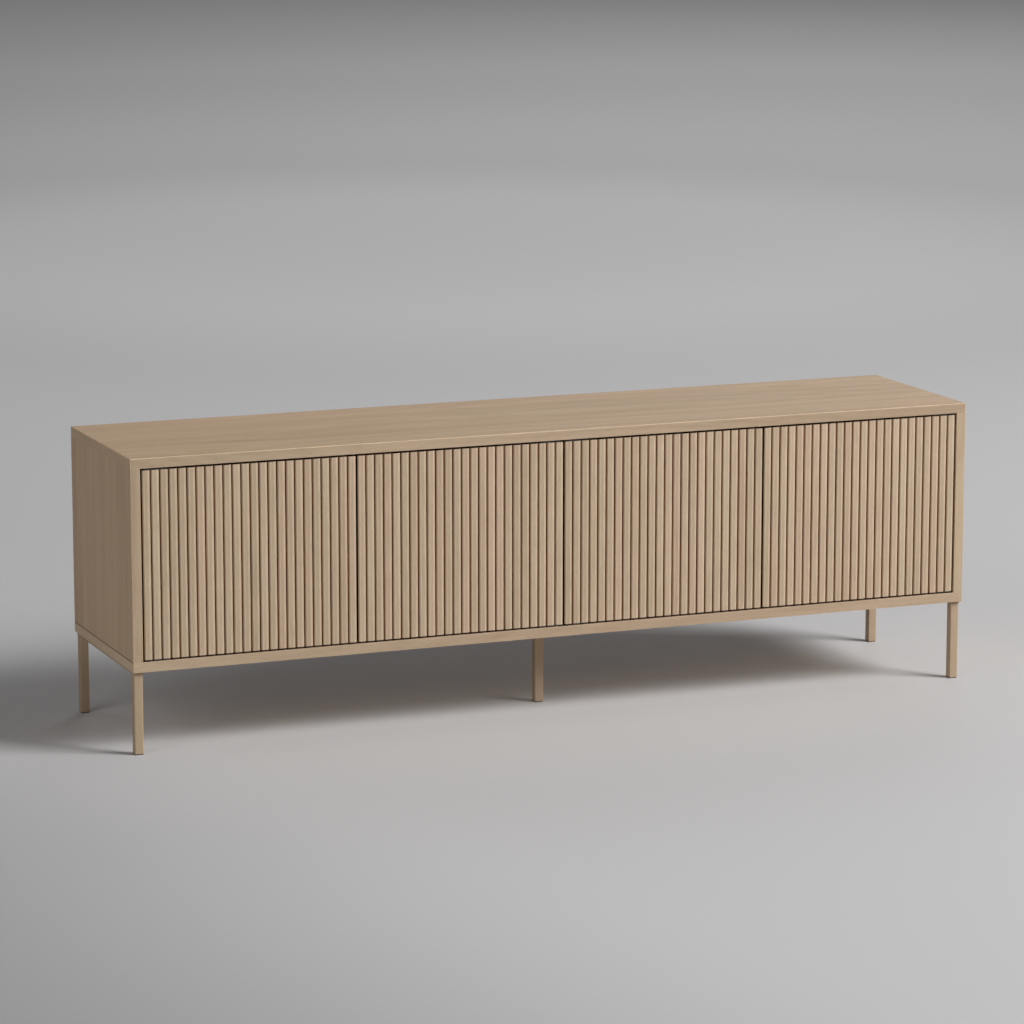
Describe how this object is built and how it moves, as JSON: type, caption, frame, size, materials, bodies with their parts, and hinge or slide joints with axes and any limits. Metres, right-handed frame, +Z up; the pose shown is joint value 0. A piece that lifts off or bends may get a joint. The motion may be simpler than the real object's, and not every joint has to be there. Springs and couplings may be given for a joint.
{
  "type": "media cabinet",
  "caption": "Low, long veneered cabinet on slim square legs, with inset slatted push-to-open doors, a centre divider, shelves and cable outlets.",
  "frame": {"origin": "on the floor under the middle of the case", "axes": "+X to the right along the case, +Y towards the back, +Z up; the doors face -Y"},
  "size_m": [1.8, 0.41, 0.585],
  "materials": {
    "oak_veneer": "light oak veneer under matt lacquer, grain along the panels",
    "oak_slats": "light oak slats under matt lacquer, grain upright",
    "door_backing": "dark brown stained board behind the slats",
    "back_board": "veneered hardboard",
    "beech_dowel": "plain beech",
    "leg_paint": "beige powder coat, satin",
    "black_steel": "black powder coat, satin",
    "zinc_steel": "bright zinc plate",
    "zinc_alloy": "die-cast zinc, dull",
    "spring_steel": "drawn spring wire",
    "magnet_steel": "nickel plate",
    "black_plastic": "fine-grained black moulding",
    "glide_plastic": "dark brown moulding",
    "nylon": "natural nylon",
    "latch_plastic": "light grey moulding",
    "latch_plastic_dark": "dark grey moulding"
  },
  "bodies": {
    "cabinet": {"top_panel": "oak_veneer", "bottom_panel": "oak_veneer", "left_side_panel": "oak_veneer", "right_side_panel": "oak_veneer", "centre_divider": "oak_veneer", "left_back_panel": "back_board", "right_back_panel": "back_board", "left_shelf": "oak_veneer", "right_shelf": "oak_veneer", "shelf_pins": "zinc_steel", "cam_locks": "zinc_alloy", "cam_bolts": "zinc_steel", "dowels": "beech_dowel", "cable_grommets": "black_plastic", "front_left_leg": "leg_paint", "front_right_leg": "leg_paint", "back_left_leg": "leg_paint", "back_right_leg": "leg_paint", "middle_leg": "leg_paint", "left_leg_bar": "leg_paint", "right_leg_bar": "leg_paint", "middle_leg_plate": "leg_paint", "leg_glides": "glide_plastic", "leg_screws": "zinc_steel", "pivot_bushings": "nylon", "latch_housings": "latch_plastic", "latch_springs": "spring_steel", "latch_screws": "zinc_steel"},
    "door_1": {"door_1_core": "door_backing", "door_1_slats": "oak_slats", "door_1_pivot_plates": "black_steel", "door_1_strike_plate": "black_steel", "door_1_screws": "zinc_steel"},
    "door_2": {"door_2_core": "door_backing", "door_2_slats": "oak_slats", "door_2_pivot_plates": "black_steel", "door_2_strike_plate": "black_steel", "door_2_screws": "zinc_steel"},
    "door_3": {"door_3_core": "door_backing", "door_3_slats": "oak_slats", "door_3_pivot_plates": "black_steel", "door_3_strike_plate": "black_steel", "door_3_screws": "zinc_steel"},
    "door_4": {"door_4_core": "door_backing", "door_4_slats": "oak_slats", "door_4_pivot_plates": "black_steel", "door_4_strike_plate": "black_steel", "door_4_screws": "zinc_steel"},
    "latch_plunger_1": {"plunger_1": "latch_plastic_dark", "plunger_magnet_1": "magnet_steel"},
    "latch_plunger_2": {"plunger_2": "latch_plastic_dark", "plunger_magnet_2": "magnet_steel"},
    "latch_plunger_3": {"plunger_3": "latch_plastic_dark", "plunger_magnet_3": "magnet_steel"},
    "latch_plunger_4": {"plunger_4": "latch_plastic_dark", "plunger_magnet_4": "magnet_steel"}
  },
  "joints": [
    {"name": "door_1_hinge", "type": "hinge", "parent": "cabinet", "child": "door_1", "pos_m": [-0.87, -0.198, 0.375], "axis": [0, 0, -1], "range_deg": [0, 95]},
    {"name": "door_2_hinge", "type": "hinge", "parent": "cabinet", "child": "door_2", "pos_m": [-0.008, -0.198, 0.375], "axis": [0, 0, 1], "range_deg": [0, 90]},
    {"name": "door_3_hinge", "type": "hinge", "parent": "cabinet", "child": "door_3", "pos_m": [0.008, -0.198, 0.375], "axis": [0, 0, -1], "range_deg": [0, 90]},
    {"name": "door_4_hinge", "type": "hinge", "parent": "cabinet", "child": "door_4", "pos_m": [0.87, -0.198, 0.375], "axis": [0, 0, 1], "range_deg": [0, 95]},
    {"name": "plunger_1_press", "type": "slide", "parent": "cabinet", "child": "latch_plunger_1", "axis": [0, 1, 0], "range_m": [0, 0.003], "stiffness_N_per_m": 400, "springref_m": -0.005},
    {"name": "plunger_2_press", "type": "slide", "parent": "cabinet", "child": "latch_plunger_2", "axis": [0, 1, 0], "range_m": [0, 0.003], "stiffness_N_per_m": 400, "springref_m": -0.005},
    {"name": "plunger_3_press", "type": "slide", "parent": "cabinet", "child": "latch_plunger_3", "axis": [0, 1, 0], "range_m": [0, 0.003], "stiffness_N_per_m": 400, "springref_m": -0.005},
    {"name": "plunger_4_press", "type": "slide", "parent": "cabinet", "child": "latch_plunger_4", "axis": [0, 1, 0], "range_m": [0, 0.003], "stiffness_N_per_m": 400, "springref_m": -0.005}
  ]
}
